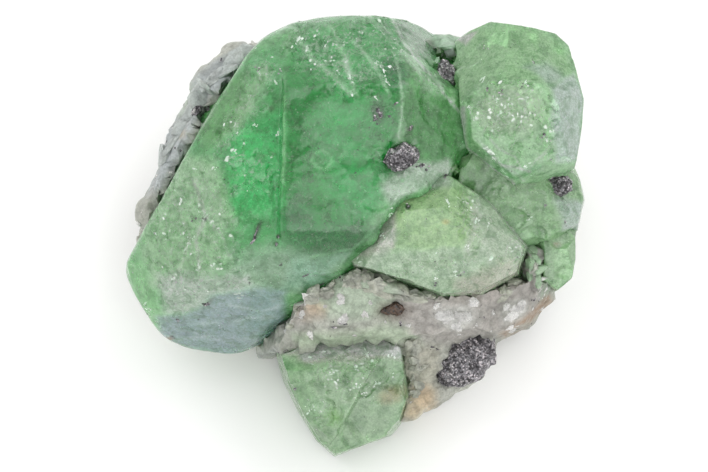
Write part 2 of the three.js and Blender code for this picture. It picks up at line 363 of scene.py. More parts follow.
def make_object(name, points, faces, material, slot, smooth_angle=28, tint=None, frost=None):
    mesh = bpy.data.meshes.new(name)
    world = to_world(points)
    world[:, 2] = np.maximum(world[:, 2], 0.0)
    mesh.from_pydata(world.tolist(), [], faces.tolist())
    if tint is not None:
        layer = mesh.color_attributes.new("tint", "FLOAT_COLOR", "POINT")
        layer.data.foreach_set("color", np.hstack([tint, np.ones((len(tint), 1))]).ravel())
    if frost is not None:
        layer = mesh.attributes.new("frost", "FLOAT", "POINT")
        layer.data.foreach_set("value", frost)
    mesh.validate()
    mesh.materials.append(material)
    mesh.shade_smooth()
    mesh.set_sharp_from_angle(angle=math.radians(smooth_angle))
    obj = add_object(name, mesh)
    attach(obj, "root")
    return obj


def random_points(points, faces, count, seed, keep=None):
    """Places spread evenly over a surface, with their normals."""
    rng = draws(seed)
    a, b, c = points[faces].transpose(1, 0, 2)
    cross = face_normals(points, faces)
    size = np.linalg.norm(cross, axis=1)
    share = size if keep is None else size * keep[faces].mean(axis=1)
    pick = rng.choice(len(faces), size=count, p=share / share.sum())
    s, t = rng.random(count), rng.random(count)
    flip = s + t > 1
    s[flip], t[flip] = 1 - s[flip], 1 - t[flip]
    place = a[pick] + (b - a)[pick] * s[:, None] + (c - a)[pick] * t[:, None]
    return place, unit(cross[pick])


BALL_STEP = 0.6  # longest edge of the finer balls, in radii
GOLD = (1 + 5 ** 0.5) / 2
BALL = np.array([(-1, GOLD, 0), (1, GOLD, 0), (-1, -GOLD, 0), (1, -GOLD, 0), (0, -1, GOLD), (0, 1, GOLD),
                 (0, -1, -GOLD), (0, 1, -GOLD), (GOLD, 0, -1), (GOLD, 0, 1), (-GOLD, 0, -1), (-GOLD, 0, 1)])
BALL_FACES = np.array([(0, 11, 5), (0, 5, 1), (0, 1, 7), (0, 7, 10), (0, 10, 11), (1, 5, 9), (5, 11, 4),
                       (11, 10, 2), (10, 7, 6), (7, 1, 8), (3, 9, 4), (3, 4, 2), (3, 2, 6), (3, 6, 8),
                       (3, 8, 9), (4, 9, 5), (2, 4, 11), (6, 2, 10), (8, 6, 7), (9, 8, 1)])


def ball(limit=0):
    """A ball of radius 1 with twenty faces, or with more where its edges would be longer than limit."""
    points, faces = BALL / np.linalg.norm(BALL[0]), BALL_FACES
    if limit:
        points, faces = refine(points, faces, limit, limit)
    return unit(points), faces


def crumbs(places, normals, sizes, flat, seed, sink=0.3, jag=0.25):
    """One joined mesh of small uneven lumps, each sunk a little into the surface under it."""
    rng = draws(seed)
    base, base_faces = ball()
    points, faces = [], []
    for k, (place, n, size) in enumerate(zip(places, normals, sizes)):
        side = rng.normal(size=3)
        side = unit(side - n * (side @ n))
        other = np.cross(n, side)
        lump = base * (1 + jag * rng.uniform(-1, 1, (len(base), 1)))
        stretch = rng.uniform(0.7, 1.4)
        local = (lump[:, :1] * side * stretch + lump[:, 1:2] * other / stretch + lump[:, 2:] * n * flat)
        points.append(place + n * size * flat * (1 - 2 * sink) + local * size)
        faces.append(base_faces + k * len(base))
    return np.concatenate(points), np.concatenate(faces)


# Materials.

class Nodes:
    """Short ways to put a node material together."""

    def __init__(self, name):
        self.material = bpy.data.materials.new(name)
        self.material.use_nodes = True
        self.tree = self.material.node_tree
        self.shader = self.tree.nodes["Principled BSDF"]
        self.output = self.tree.nodes["Material Output"]
        where = self.add("TexCoord")
        scaled = self.add("Mapping", {"Scale": (1 / MM,) * 3})
        self.link(where.outputs["Object"], scaled.inputs["Vector"])
        self.place = scaled.outputs["Vector"]

    def add(self, kind, values=(), **settings):
        node = self.tree.nodes.new("ShaderNode" + kind)
        for key, value in settings.items():
            setattr(node, key, value)
        for key, value in dict(values).items():
            node.inputs[key].default_value = value
        return node

    def link(self, a, b):
        self.tree.links.new(a, b)

    def noise(self, per_mm, detail=4, rough=0.55, distortion=0.0):
        node = self.add("TexNoise", {"Scale": per_mm, "Detail": detail, "Roughness": rough,
                                               "Distortion": distortion})
        self.link(self.place, node.inputs["Vector"])
        return node.outputs["Fac"]

    def cells(self, per_mm):
        """Distance to the middle of the nearest cell, and a random colour for each cell."""
        node = self.add("TexVoronoi", {"Scale": per_mm})
        self.link(self.place, node.inputs["Vector"])
        return node.outputs["Distance"], node.outputs["Color"]

    def ramp(self, value, low, high, out_low=0.0, out_high=1.0):
        node = self.add("MapRange", {"From Min": low, "From Max": high, "To Min": out_low,
                                               "To Max": out_high}, interpolation_type="SMOOTHSTEP")
        self.link(value, node.inputs["Value"])
        return node.outputs["Result"]

    def dots(self, per_mm, rim, core, where, low, high):
        """Small dots in the middle of some cells, where the noise is high enough."""
        return self.times(self.ramp(self.cells(per_mm)[0], rim, core), self.ramp(where, low, high))

    def math(self, kind, a, b=None):
        node = self.add("Math", operation=kind)
        for socket, value in zip(node.inputs, (a, b)):
            if value is None:
                continue
            if isinstance(value, (int, float)):
                socket.default_value = value
            else:
                self.link(value, socket)
        return node.outputs["Value"]

    def times(self, a, b):
        return self.math("MULTIPLY", a, b)

    def plus(self, a, b):
        return self.math("ADD", a, b)

    def rest(self, a):
        return self.math("SUBTRACT", 1.0, a)

    def attribute(self, name, channel="Fac"):
        node = self.add("Attribute", attribute_name=name)
        return node.outputs[channel]

    def mix(self, factor, a, b, blend="MIX"):
        node = self.add("Mix", data_type="RGBA", blend_type=blend)
        for socket, value in ((node.inputs["Factor"], factor), (node.inputs["A"], a), (node.inputs["B"], b)):
            if isinstance(value, (int, float)):
                socket.default_value = value
            elif isinstance(value, (tuple, np.ndarray)):
                socket.default_value = (*linear(value), 1)
            else:
                self.link(value, socket)
        return node.outputs["Result"]

    def darker(self, colour, mask, strength, shade):
        return self.mix(self.times(mask, strength), colour, shade, "MULTIPLY")

    def set(self, **values):
        for key, value in values.items():
            socket = self.shader.inputs[key.replace("_", " ")]
            if isinstance(value, (int, float, tuple)):
                socket.default_value = value
            else:
                self.link(value, socket)

    def bump(self, height, strength, distance_mm):
        node = self.add("Bump", {"Strength": strength, "Distance": distance_mm * MM})
        self.link(height, node.inputs["Height"])
        self.link(node.outputs["Normal"], self.shader.inputs["Normal"])


def garnet(name, absorb, density, clear, rough, milk, wavy):
    """Translucent garnet: the tint of the surface, veils, specks, painted glints, and green depth by absorption."""
    m = Nodes(name)
    frost = m.attribute("frost")
    cloud = m.ramp(m.noise(0.9, 5, 0.62, 0.8), 0.32, 0.68)
    colour = m.mix(m.times(cloud, 0.40), m.attribute("tint", "Color"), (214, 246, 214), "SOFT_LIGHT")
    shade = m.ramp(m.noise(1.7, 5, 0.66, 0.5), 0.56, 0.36)
    colour = m.darker(colour, shade, 0.62, (140, 178, 142))
    grain = m.ramp(m.noise(5.5, 5, 0.7), 0.34, 0.66)
    colour = m.darker(colour, m.rest(grain), 0.32, (130, 160, 132))
    pale = m.ramp(m.noise(3.1, 5, 0.7, 0.6), 0.54, 0.72)
    colour = m.mix(m.times(pale, m.plus(m.times(frost, 0.6), 0.20)), colour, (226, 240, 222))
    thread = m.ramp(m.math("ABSOLUTE", m.math("SUBTRACT", m.noise(1.1, 5, 0.62, 1.6), 0.5)), 0.022, 0.0)
    colour = m.mix(m.times(thread, m.plus(m.times(frost, 0.7), 0.16)), colour, (222, 238, 220))
    # Near-white dots in some cells are painted glints, with more of them where the surface is frosted.
    painted_glint = m.dots(3.4, 0.30, 0.12, m.noise(2.4, 3, 0.7), 0.50, 0.60)
    colour = m.mix(m.times(painted_glint, m.plus(frost, 0.08)), colour, (250, 253, 249))
    fine = m.ramp(m.noise(11.0, 4, 0.75), 0.36, 0.64)
    colour = m.darker(colour, m.rest(fine), 0.30, (120, 150, 122))
    pin = m.dots(4.4, 0.20, 0.09, m.noise(2.9, 3), 0.50, 0.58)
    colour = m.mix(m.times(pin, m.plus(m.times(frost, 0.6), 0.35)), colour, (240, 250, 238))
    speck = m.dots(2.6, 0.13, 0.06, m.noise(1.9, 2), 0.50, 0.56)
    colour = m.mix(m.times(speck, 0.75), colour, (60, 74, 58))
    m.set(Base_Color=colour, IOR=1.74, Specular_IOR_Level=0.25, Transmission_Weight=clear, Subsurface_Weight=milk,
          Subsurface_Radius=(0.7, 1.0, 0.7), Subsurface_Scale=0.5 * MM,
          Roughness=m.ramp(m.plus(m.noise(1.6, 4), m.times(frost, 0.2)), 0.3, 0.8, rough, rough + 0.25))
    relief = m.plus(m.times(m.noise(1.3, 3, 0.5), 0.7), m.times(m.noise(7.0, 5, 0.65), 0.22))
    m.bump(m.plus(relief, m.times(m.times(grain, frost), 0.35)), wavy, 0.10)
    depth = m.add("VolumeAbsorption", {"Color": (*absorb, 1), "Density": density})
    m.link(depth.outputs["Volume"], m.output.inputs["Volume"])
    return m.material


def rock(name):
    m = Nodes(name)
    grain = m.cells(2.6)[0]
    bright = m.ramp(m.noise(1.7, 5, 0.65), 0.3, 0.7)
    colour = m.mix(m.times(bright, 0.35), m.attribute("tint", "Color"), (238, 238, 236), "SOFT_LIGHT")
    colour = m.darker(colour, m.ramp(grain, 0.45, 0.75), 0.28, (110, 112, 100))
    fine = m.ramp(m.noise(9.0, 4, 0.7), 0.35, 0.65)
    colour = m.darker(colour, m.rest(fine), 0.30, (90, 92, 84))
    speck = m.dots(2.9, 0.13, 0.06, m.noise(2.1, 2), 0.52, 0.57)
    colour = m.mix(m.times(speck, 0.8), colour, (58, 52, 46))
    m.set(Base_Color=colour, IOR=1.54, Transmission_Weight=0.12, Subsurface_Weight=0.45,
          Subsurface_Radius=(1.0, 0.95, 0.9), Subsurface_Scale=0.6 * MM,
          Roughness=m.ramp(m.noise(3.0, 4), 0.3, 0.7, 0.35, 0.7))
    m.bump(m.plus(m.noise(4.0, 6, 0.65), m.times(grain, -0.5)), 0.7, 0.12)
    return m.material


def quartz(name):
    m = Nodes(name)
    colour = m.mix(m.ramp(m.noise(2.0, 4), 0.3, 0.7), (214, 212, 208), (244, 243, 240))
    m.set(Base_Color=colour, IOR=1.54, Transmission_Weight=0.35, Subsurface_Weight=0.4,
          Subsurface_Radius=(1.0, 1.0, 1.0), Subsurface_Scale=0.5 * MM,
          Roughness=m.ramp(m.noise(4.0, 3), 0.3, 0.7, 0.12, 0.4))
    m.bump(m.noise(3.0, 3), 0.3, 0.05)
    return m.material


def graphite(name):
    m = Nodes(name)
    flake, random_colour = m.cells(11.0)
    chance = m.add("SeparateColor")
    m.link(random_colour, chance.inputs["Color"])
    colour = m.mix(m.ramp(m.noise(2.2, 5, 0.7), 0.38, 0.62), (92, 90, 94), (168, 166, 170))
    # Pale pink-white flakes in some cells are painted glints of the shiny graphite.
    glint_patch = m.ramp(m.noise(2.2, 3, 0.6), 0.42, 0.60, 0.25, 1.0)
    colour = m.mix(m.times(m.ramp(chance.outputs["Red"], 0.60, 0.72), glint_patch), colour, (222, 214, 218))
    colour = m.mix(m.times(m.ramp(chance.outputs["Green"], 0.66, 0.72), 0.8), colour, (38, 36, 38))
    colour = m.mix(m.ramp(flake, 0.40, 0.75, 0.0, 0.5), colour, (60, 58, 60))
    m.set(Base_Color=colour, Metallic=0.45, Roughness=m.ramp(chance.outputs["Blue"], 0.1, 0.9, 0.2, 0.55))
    m.bump(m.plus(m.noise(5.0, 5, 0.7), m.times(flake, -0.8)), 0.9, 0.12)
    return m.material


def speckled(name, dark, pale, rough=0.5, per_mm=6.0, clear=0.0):
    m = Nodes(name)
    colour = m.mix(m.ramp(m.noise(per_mm, 4, 0.65), 0.35, 0.65), dark, pale)
    m.set(Base_Color=colour, Transmission_Weight=clear, IOR=1.55,
          Roughness=m.ramp(m.noise(per_mm * 0.7, 3), 0.3, 0.7, rough, rough + 0.25))
    m.bump(m.noise(per_mm, 4), 0.5, 0.05)
    return m.material


deep_green = garnet("deep_green_garnet", (0.35, 0.94, 0.55), 180.0, 0.60, 0.10, 0.4, 0.30)
mint = garnet("mint_garnet", (0.70, 0.96, 0.70), 45.0, 0.62, 0.06, 0.4, 0.35)
yellow_green = garnet("yellow_green_garnet", (0.74, 0.95, 0.66), 45.0, 0.58, 0.07, 0.4, 0.35)
pale_green = garnet("pale_garnet", (0.72, 0.94, 0.68), 45.0, 0.58, 0.07, 0.4, 0.35)
rock_material = rock("rock")
quartz_material = quartz("quartz")
graphite_material = graphite("graphite")
dark_material = speckled("dark_mineral", (18, 15, 13), (84, 62, 44), 0.22, 8.0)
# Near-white chips: partly small bright breaks, partly painted glints.
glint_chip_material = speckled("glint_chip", (206, 230, 208), (250, 254, 250), 0.12, 3.0, 0.35)
veil_material = speckled("pale_veil", (170, 210, 174), (236, 248, 236), 0.25, 2.0, 0.5)

BRIGHTEST = 0.96  # no surface sends back all the light

# Colours, 0 to 255.
DEEP = (10, 122, 46)
DEEPEST = (12, 104, 44)
BRIGHT = (60, 176, 98)
MID_GREEN = (78, 150, 92)
OLIVE = (92, 142, 86)
SAGE = (132, 168, 128)
PALE = (150, 186, 146)
MILK = (178, 204, 178)
BLUE_GREY = (140, 152, 164)
TEAL_GREY = (104, 134, 136)
GREY_GREEN = (136, 162, 140)
LINE = (190, 214, 190)
ROCK_PINK = (172, 167, 162)
ROCK_WHITE = (206, 206, 200)
RIM_GREY = (174, 181, 182)
TAN = (214, 182, 142)
BROWN = (150, 116, 84)
DARK = (60, 60, 52)

LARGE_MARKS = [
    (area(283, 60, 300, 40, 400, 20, 398, 60, 402, 130, 395, 175, 381, 200, 346, 262, 282, 255), DEEP, 0.95, 8),
    (area(300, 20, 400, 14, 400, 60, 350, 92, 296, 60), MID_GREEN, 0.75, 12),
    # This area and the faint spot at 335, 235 darken the panel's lower facet: partly its own deep green, partly
    # painted shade against the extra light that facet catches.
    (area(283, 226, 386, 226, 350, 260, 284, 256), (4, 88, 32), 0.85, 6),
    (spot(296, 222, 20, 30, 10), DEEPEST, 0.9, 12), (spot(335, 235, 22, 18), DEEPEST, 0.45, 14),
    (spot(300, 130, 16, 60), DEEPEST, 0.35, 14), (spot(396, 74, 16, 18), DEEPEST, 0.95, 8),
    (spot(356, 30, 7, 14, 20), DEEPEST, 0.6, 5), (spot(388, 28, 5, 6), DEEPEST, 0.6, 3),
    (spot(345, 130, 24, 50), BRIGHT, 0.35, 18), (spot(360, 190, 26, 26), BRIGHT, 0.35, 14),
    (area(200, 100, 244, 58, 284, 40, 283, 200, 240, 215, 205, 160, 185, 150), MID_GREEN, 0.9, 8),
    (area(190, 130, 214, 84, 250, 66, 250, 110, 226, 140, 206, 150), OLIVE, 0.75, 9),
    (path(14, 262, 74, 245, 110, 228, 140), SAGE, 0.8, 8),
    (area(226, 140, 282, 110, 282, 240, 240, 236), BRIGHT, 0.85, 9),
    (area(150, 172, 178, 150, 214, 160, 228, 190, 232, 240, 226, 262, 180, 290, 146, 290, 140, 210), PALE, 0.95, 8),
    (spot(180, 240, 30, 40), SAGE, 0.6, 14), (spot(255, 240, 30, 22), MID_GREEN, 0.8, 12),
    (area(232, 258, 280, 248, 350, 258, 322, 284, 262, 292, 226, 284), GREY_GREEN, 0.9, 9),
    (area(290, 256, 346, 256, 318, 286, 286, 290), (128, 166, 146), 0.75, 8),
    (area(158, 276, 250, 270, 262, 296, 200, 316, 160, 320), MILK, 0.85, 9),
    (area(124, 262, 140, 262, 166, 326, 156, 332, 136, 300), (128, 192, 126), 0.9, 5),
    # The blue-grey on the steep face turned downwards is painted shade. The real striations are drawn over it.
    (area(158, 320, 196, 312, 214, 296, 255, 287, 286, 292, 284, 330, 272, 356, 196, 352, 164, 346), BLUE_GREY,
     0.95, 5), (area(248, 288, 284, 290, 284, 330, 268, 346, 250, 330), TEAL_GREY, 0.6, 9),
    (path(3, 200, 325, 280, 316), (176, 186, 194), 0.6, 3),
    (path(2, 186, 334, 228, 322, 262, 304), (116, 128, 142), 0.6, 2),
    (path(2, 204, 346, 246, 336, 276, 322), (118, 130, 144), 0.6, 2),
    (path(2, 228, 306, 262, 312, 280, 306), (178, 188, 194), 0.6, 2),
    (path(2, 176, 340, 206, 336, 240, 346), (174, 182, 192), 0.6, 2),
    (path(3, 190, 338, 262, 340), (166, 174, 186), 0.5, 3),
    (area(404, 82, 412, 62, 462, 114, 462, 150, 468, 178, 420, 168, 398, 148), (84, 138, 84), 0.95, 5),
    (area(432, 64, 444, 60, 462, 112, 458, 112), (98, 160, 92), 0.8, 4),
    (area(396, 110, 420, 96, 452, 130, 456, 158, 430, 160, 400, 144), (70, 124, 72), 0.7, 8),
    (area(392, 18, 405, 20, 442, 50, 434, 58, 414, 58, 400, 42), (104, 128, 108), 0.95, 3),
    (area(404, 20, 434, 24, 453, 39, 442, 52), (98, 140, 106), 0.95, 3),
    (path(2.2, 393, 20, 404, 42, 415, 58, 430, 75, 447, 98, 463, 115), LINE, 0.95, 1.6),
    (path(1.6, 397, 58, 400, 82, 402, 106, 399, 131, 396, 150), LINE, 0.7, 1.6),
    (path(2.4, 285, 96, 283, 120, 284, 150, 283, 180), (140, 196, 140), 0.5, 1.8),
    (area(378, 182, 396, 168, 450, 158, 456, 176, 392, 204), (170, 182, 170), 0.9, 5),
    (path(3, 193, 180, 206, 216, 196, 240, 198, 268), (184, 208, 180), 0.7, 2),
    (path(2, 206, 216, 222, 236, 232, 262), (176, 204, 174), 0.6, 2),
    (path(2, 172, 196, 190, 238, 176, 280), (178, 204, 172), 0.6, 2),
    (path(2.5, 298, 38, 312, 60, 336, 78, 352, 92), (200, 228, 200), 0.6, 4),
    (path(2, 352, 40, 372, 62, 388, 92), (190, 224, 192), 0.7, 2),
    (path(2, 344, 60, 352, 76, 358, 96), (200, 226, 200), 0.55, 3),
    (path(2.5, 330, 26, 342, 50, 352, 76), (196, 226, 196), 0.55, 4),
    (path(2, 312, 256, 352, 250, 372, 232), (132, 184, 138), 0.5, 2),
    (spot(432, 84, 12, 10, -40), (150, 184, 150), 0.7, 6),
    (path(1.8, 314, 154, 322, 150, 330, 154, 332, 162, 326, 169, 317, 168, 312, 161, 314, 154), (120, 190, 130),
     0.7, 1.4), (spot(271.5, 108.7, 3.2, 3.2), (60, 96, 60), 0.8, 1.4),
    (spot(378, 114, 6, 10, 15), (38, 70, 44), 0.8, 3), (spot(408.5, 129, 4, 2.5, 30), DARK, 0.7, 2),
    (spot(257, 231, 2.6, 10, -22), (40, 66, 42), 0.9, 2), (spot(278, 237, 2, 2), DARK, 0.9, 1),
    (spot(276, 244, 1.8, 1.8), DARK, 0.9, 1), (spot(209, 302, 6, 2, 35), DARK, 0.7, 2),
    (spot(170, 338, 3, 2), (140, 80, 60), 0.8, 2), (path(8, 236, 48, 290, 24, 360, 17), (146, 176, 150), 0.7, 4),
]
LARGE_FROST = [
    (area(290, 28, 400, 18, 400, 60, 352, 96, 300, 62), 0.9, 10), (spot(232, 150, 16, 14), 0.9, 6),
    (area(150, 190, 205, 175, 238, 230, 226, 285, 160, 300), 0.55, 12), (spot(432, 84, 14, 10, -40), 0.9, 6),
    (path(26, 264, 70, 240, 120, 232, 150), 0.6, 8), (spot(250, 175, 30, 20), 0.35, 10),
]
CORNER_MARKS = [
    (area(463, 98, 480, 84, 545, 84, 556, 110, 556, 160, 512, 188, 463, 150), (146, 192, 142), 0.9, 5),
    (area(470, 30, 517, 26, 560, 40, 572, 74, 548, 84, 478, 84, 458, 100, 455, 60), (142, 182, 134), 0.9, 4),
    (area(552, 88, 574, 74, 582, 98, 578, 162, 556, 162), (176, 226, 184), 0.95, 4),
    (area(523, 63, 548, 64, 566, 80, 550, 84), (170, 184, 180), 0.7, 5),
    # Painted highlight: a bright green rim along the lower left bevel, which faces away from the lamps.
    (path(7, 463, 108, 463, 148, 484, 162, 512, 186), (196, 244, 196), 0.95, 3),
    (path(1.6, 470, 118, 470, 146, 492, 166, 516, 180, 540, 166), (112, 170, 118), 0.7, 1.2),
    (path(1.6, 490, 138, 498, 148, 516, 158, 522, 172), (190, 228, 190), 0.7, 1.2),
    (path(1.6, 528, 172, 536, 160, 546, 152), (190, 228, 190), 0.7, 1.2),
    (path(6, 484, 150, 512, 176, 540, 168), (140, 210, 146), 0.6, 4),
    (spot(512, 110, 34, 26), (176, 206, 166), 0.55, 10),
    (path(2, 486, 146, 500, 165, 530, 172), (196, 232, 196), 0.7, 1.6),
    (path(2, 480, 140, 494, 160, 524, 180), (186, 226, 188), 0.5, 1.6),
    (spot(560, 50, 6, 5), (120, 184, 112), 0.6, 4), (area(453, 39, 478, 31, 465, 47), (196, 206, 190), 0.9, 2),
]
CORNER_FROST = [(spot(508, 108, 36, 24), 1.0, 8), (spot(548, 130, 8, 26), 0.8, 5), (spot(495, 155, 22, 12), 0.4, 6)]
MIDDLE_MARKS = [
    (area(392, 192, 462, 188, 478, 206, 472, 246, 392, 246), (146, 178, 126), 0.9, 5),
    # The pale left band is partly the crystal's own colour and partly painted light on a facet that faces away from
    # the lamps.
    (area(380, 190, 400, 186, 394, 246, 374, 270, 342, 268), (188, 216, 178), 0.9, 3),
    (area(384, 184, 400, 176, 444, 163, 450, 188, 396, 196), (172, 184, 172), 0.8, 6),
    (area(478, 192, 492, 202, 527, 247, 520, 272, 478, 262, 474, 212), (168, 216, 162), 0.9, 5),
    (area(348, 262, 392, 248, 474, 248, 510, 270, 450, 296, 370, 290), (164, 196, 158), 0.85, 7),
    (path(2, 452, 168, 474, 186, 492, 204, 512, 228, 526, 246), LINE, 0.9, 1.6),
    (path(2.5, 396, 196, 390, 222, 392, 246), (186, 208, 176), 0.6, 2),
    (path(5, 474, 206, 472, 232, 468, 250), (186, 214, 182), 0.6, 4),
    (spot(407.8, 207.5, 2.8, 2.8), (24, 26, 20), 0.95, 1), (spot(445, 222, 3, 2), (180, 160, 90), 0.7, 2),
    (spot(398, 178, 12, 4), (214, 216, 214), 0.7, 3),
    (area(452, 284, 498, 258, 526, 262, 520, 282, 468, 300), (176, 168, 160), 0.8, 6),
]
MIDDLE_FROST = [(area(384, 184, 444, 163, 452, 186, 396, 194), 0.5, 6), (spot(470, 212, 12, 26), 0.9, 6),
                (spot(440, 265, 50, 16), 0.4, 8), (spot(515, 250, 8, 14), 0.9, 4)]
LOWER_MARKS = [
    # Painted light: the top of the lower crystal, shaded by the rock band above, is made pale green-white.
    (area(276, 352, 292, 338, 410, 328, 412, 358, 290, 362), (226, 246, 216), 0.95, 8),
    (area(276, 376, 408, 374, 410, 395, 386, 430, 345, 452, 326, 448), (146, 172, 138), 0.8, 8),
    (area(276, 354, 300, 350, 320, 420, 312, 432), (136, 170, 130), 0.6, 6),
    (spot(334, 416, 7, 10, 30), (112, 162, 88), 0.9, 5), (spot(345, 375, 30, 26), (160, 186, 154), 0.6, 10),
    (spot(394, 394, 12, 9), (160, 148, 112), 0.8, 5), (spot(318, 408, 10, 8), (170, 200, 166), 0.6, 5),
    (path(2, 276, 352, 292, 342, 360, 332), (110, 132, 100), 0.5, 2),
]
LOWER_FROST = [(spot(346, 370, 34, 22), 0.9, 8), (spot(378, 380, 10, 12), 0.8, 5), (spot(318, 412, 14, 10), 0.7, 5)]
EDGE_MARKS = [
    (area(450, 165, 496, 165, 490, 200, 462, 186), (92, 138, 84), 0.9, 5),
    (area(496, 190, 545, 180, 560, 215, 530, 240, 500, 205), (132, 168, 124), 0.85, 6),
    (area(500, 210, 540, 225, 548, 260, 530, 250), (140, 176, 134), 0.7, 5),
    (area(556, 200, 586, 200, 582, 235, 560, 230), (166, 178, 174), 0.9, 5),
]
EDGE_FROST = [(spot(525, 200, 26, 14), 0.5, 8)]
SMALL_MARKS = [(area(544, 236, 578, 236, 576, 272, 552, 290), (148, 182, 140), 0.9, 4),
               (spot(556, 245, 3, 2), (130, 90, 40), 0.8, 2)]
MATRIX_MARKS = [
    (area(424, 26, 462, 30, 466, 60, 440, 66), (156, 188, 160), 0.95, 4),
    (area(125, 196, 160, 126, 196, 76, 246, 44, 250, 62, 206, 104, 180, 160, 160, 190), RIM_GREY, 0.95, 5),
    (spot(186, 100, 12, 16, -30), (176, 190, 172), 0.8, 6), (spot(181, 132, 4, 5), (176, 160, 120), 0.6, 3),
    (area(270, 300, 290, 285, 320, 285, 316, 320, 282, 330), ROCK_PINK, 0.7, 6),
    (area(290, 288, 350, 268, 400, 290, 390, 320, 330, 318), (180, 198, 174), 0.8, 8),
    (spot(312, 312, 12, 8), TAN, 0.45, 6),
    (area(400, 300, 450, 285, 530, 262, 548, 290, 530, 318, 500, 334, 440, 345, 405, 335), ROCK_PINK, 0.9, 8),
    (area(440, 268, 500, 258, 526, 270, 500, 300, 450, 305), (178, 170, 164), 0.7, 8),
    (spot(457, 318, 22, 12), ROCK_WHITE, 0.9, 5), (spot(512, 312, 14, 11), ROCK_WHITE, 0.9, 5),
    (path(8, 504, 334, 530, 318, 548, 300), BROWN, 0.75, 4),
    (area(404, 340, 440, 350, 436, 392, 400, 410, 396, 380), (178, 176, 160), 0.8, 6),
    (spot(424, 396, 12, 10), TAN, 0.6, 6), (spot(416, 408, 16, 7, 20), (214, 190, 156), 0.7, 5),
    (spot(393, 312, 16, 9, 10), (112, 96, 82), 0.7, 6),
    (area(290, 334, 412, 326, 420, 345, 300, 348), (176, 194, 166), 0.8, 6),
    (path(3, 331, 328, 346, 326), (64, 68, 58), 0.85, 1.5),
    (area(556, 196, 588, 196, 582, 240, 562, 232), (168, 180, 176), 0.85, 5),
    (area(536, 270, 552, 262, 552, 292, 540, 300), (150, 172, 146), 0.7, 5),
    (path(5, 276, 352, 240, 358, 200, 354), (150, 158, 160), 0.6, 4),
]

# Where the rock rises to meet a crystal: shape, height in mm, softness in picture dots.
ROCK_LIFTS = [
    (path(16, 352, 272, 400, 290, 440, 300, 475, 296, 520, 278, 530, 262), 1.1, 12),
    (path(10, 336, 276, 300, 292, 284, 318, 276, 344), 0.45, 8),
    (path(12, 290, 338, 330, 330, 370, 328, 408, 338, 414, 372), 0.15, 8), (spot(457, 318, 20, 12), 0.35, 8),
    (spot(512, 312, 12, 10), 0.3, 6), (spot(393, 309, 14, 9), 0.35, 7),
    (path(18, 252, 60, 222, 84, 206, 106, 192, 130, 178, 158, 160, 190), 1.15, 8),
    (path(10, 336, 268, 372, 282, 404, 292), 1.1, 7), (path(14, 522, 240, 534, 262, 538, 284), 1.2, 6),
    (spot(448, 56, 14, 12), 0.9, 6), (spot(459, 168, 14, 14), 1.5, 6),
]

SOFT_STEP = 0.45  # size of the triangles while big corners are rounded, mm
BACK_STEP = 2  # how much coarser the sides turned away from the viewer are


def prepared(name, detail, rounds, soften=0):
    """The node's mesh with edges no longer than detail in mm, and its corners rounded."""
    points, faces = node_mesh(name)
    if soften:
        points, faces = refine(points, faces, SOFT_STEP, SOFT_STEP)
        points = relax(points, faces, 6, keep_edges=True)
        points = relax(points, faces, soften)
    points, faces = refine(points, faces, detail, BACK_STEP * detail)
    points = relax(points, faces, 8, keep_edges=True)
    return relax(points, faces, rounds), faces


def broken_face(points, faces, seed, gentle=0.05, fine=0.018):
    swell = fractal(points, 2.6, 2, seed) * gentle + fractal(points, 0.55, 2, seed + 5) * fine
    return along_normals(points, faces, swell)


shapes = {}
frosts = {}


# Chips: count, reach and depth in mm, and whether they need frost.
def add_crystal(name, seed, detail, rounds, soften, gain, base, marks, frost_marks, material, slot, chips,
                neighbours=()):
    points, faces = prepared(name, detail, rounds, soften)
    points = broken_face(points, faces, seed)
    frost = level(points, faces, frost_marks)
    for count, reach, depth, needs_frost in chips:
        where = frost if needs_frost else None
        points = chipped(points, faces, seed * 7 + count, count, reach, depth, where)
    points = close_seams(points, [shapes[n] for n in (*GRAINS, *neighbours)])
    tint = painted(points, faces, base, marks, gain)
    shapes[name] = (points, faces)
    frosts[name] = frost
    piece = make_object(name + "_stone", points, faces, material, slot, tint=tint, frost=frost)
    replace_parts(piece, name)


GRAINS = {"graphite_lump": 0.09, "graphite_knob": 0.07, "graphite_flake_right": 0.07, "graphite_flake_top": 0.07,
          "graphite_flake_left": 0.06, "dark_grain": 0.06}
for seed, (name, detail) in enumerate(GRAINS.items(), 21):
    material, slot = (graphite_material, "graphite") if name != "dark_grain" else (dark_material, "dark_mineral")
    points, faces = prepared(name, detail, 1)
    points = along_normals(points, faces, fractal(points, 0.5, 3, seed) * 0.07)
    points = chipped(points, faces, seed, 120, 0.3, 0.05)
    shapes[name] = (points, faces)
    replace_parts(make_object(name + "_grain", points, faces, material, slot, 20), name)

add_crystal("middle_crystal", 3, 0.12, 1, 0, 2.05, (150, 182, 140), MIDDLE_MARKS, MIDDLE_FROST, yellow_green,
            "yellow_green_garnet", [(30, 1.0, 0.012, False), (120, 0.35, 0.02, True)])
add_crystal("corner_crystal", 4, 0.12, 2, 0, 1.9, (146, 186, 142), CORNER_MARKS, CORNER_FROST, mint,
            "mint_garnet", [(16, 0.9, 0.015, False), (160, 0.28, 0.04, True)])
add_crystal("lower_crystal", 5, 0.12, 1, 0, 1.75, (146, 176, 138), LOWER_MARKS, LOWER_FROST, pale_green,
            "pale_garnet", [(40, 0.9, 0.04, False), (140, 0.32, 0.05, True)])
add_crystal("large_crystal", 6, 0.155, 1, 5, 2.1, (110, 158, 112), LARGE_MARKS, LARGE_FROST, deep_green,
            "deep_green_garnet", [(36, 1.1, 0.012, False), (700, 0.36, 0.06, True)],
            ("middle_crystal", "corner_crystal"))
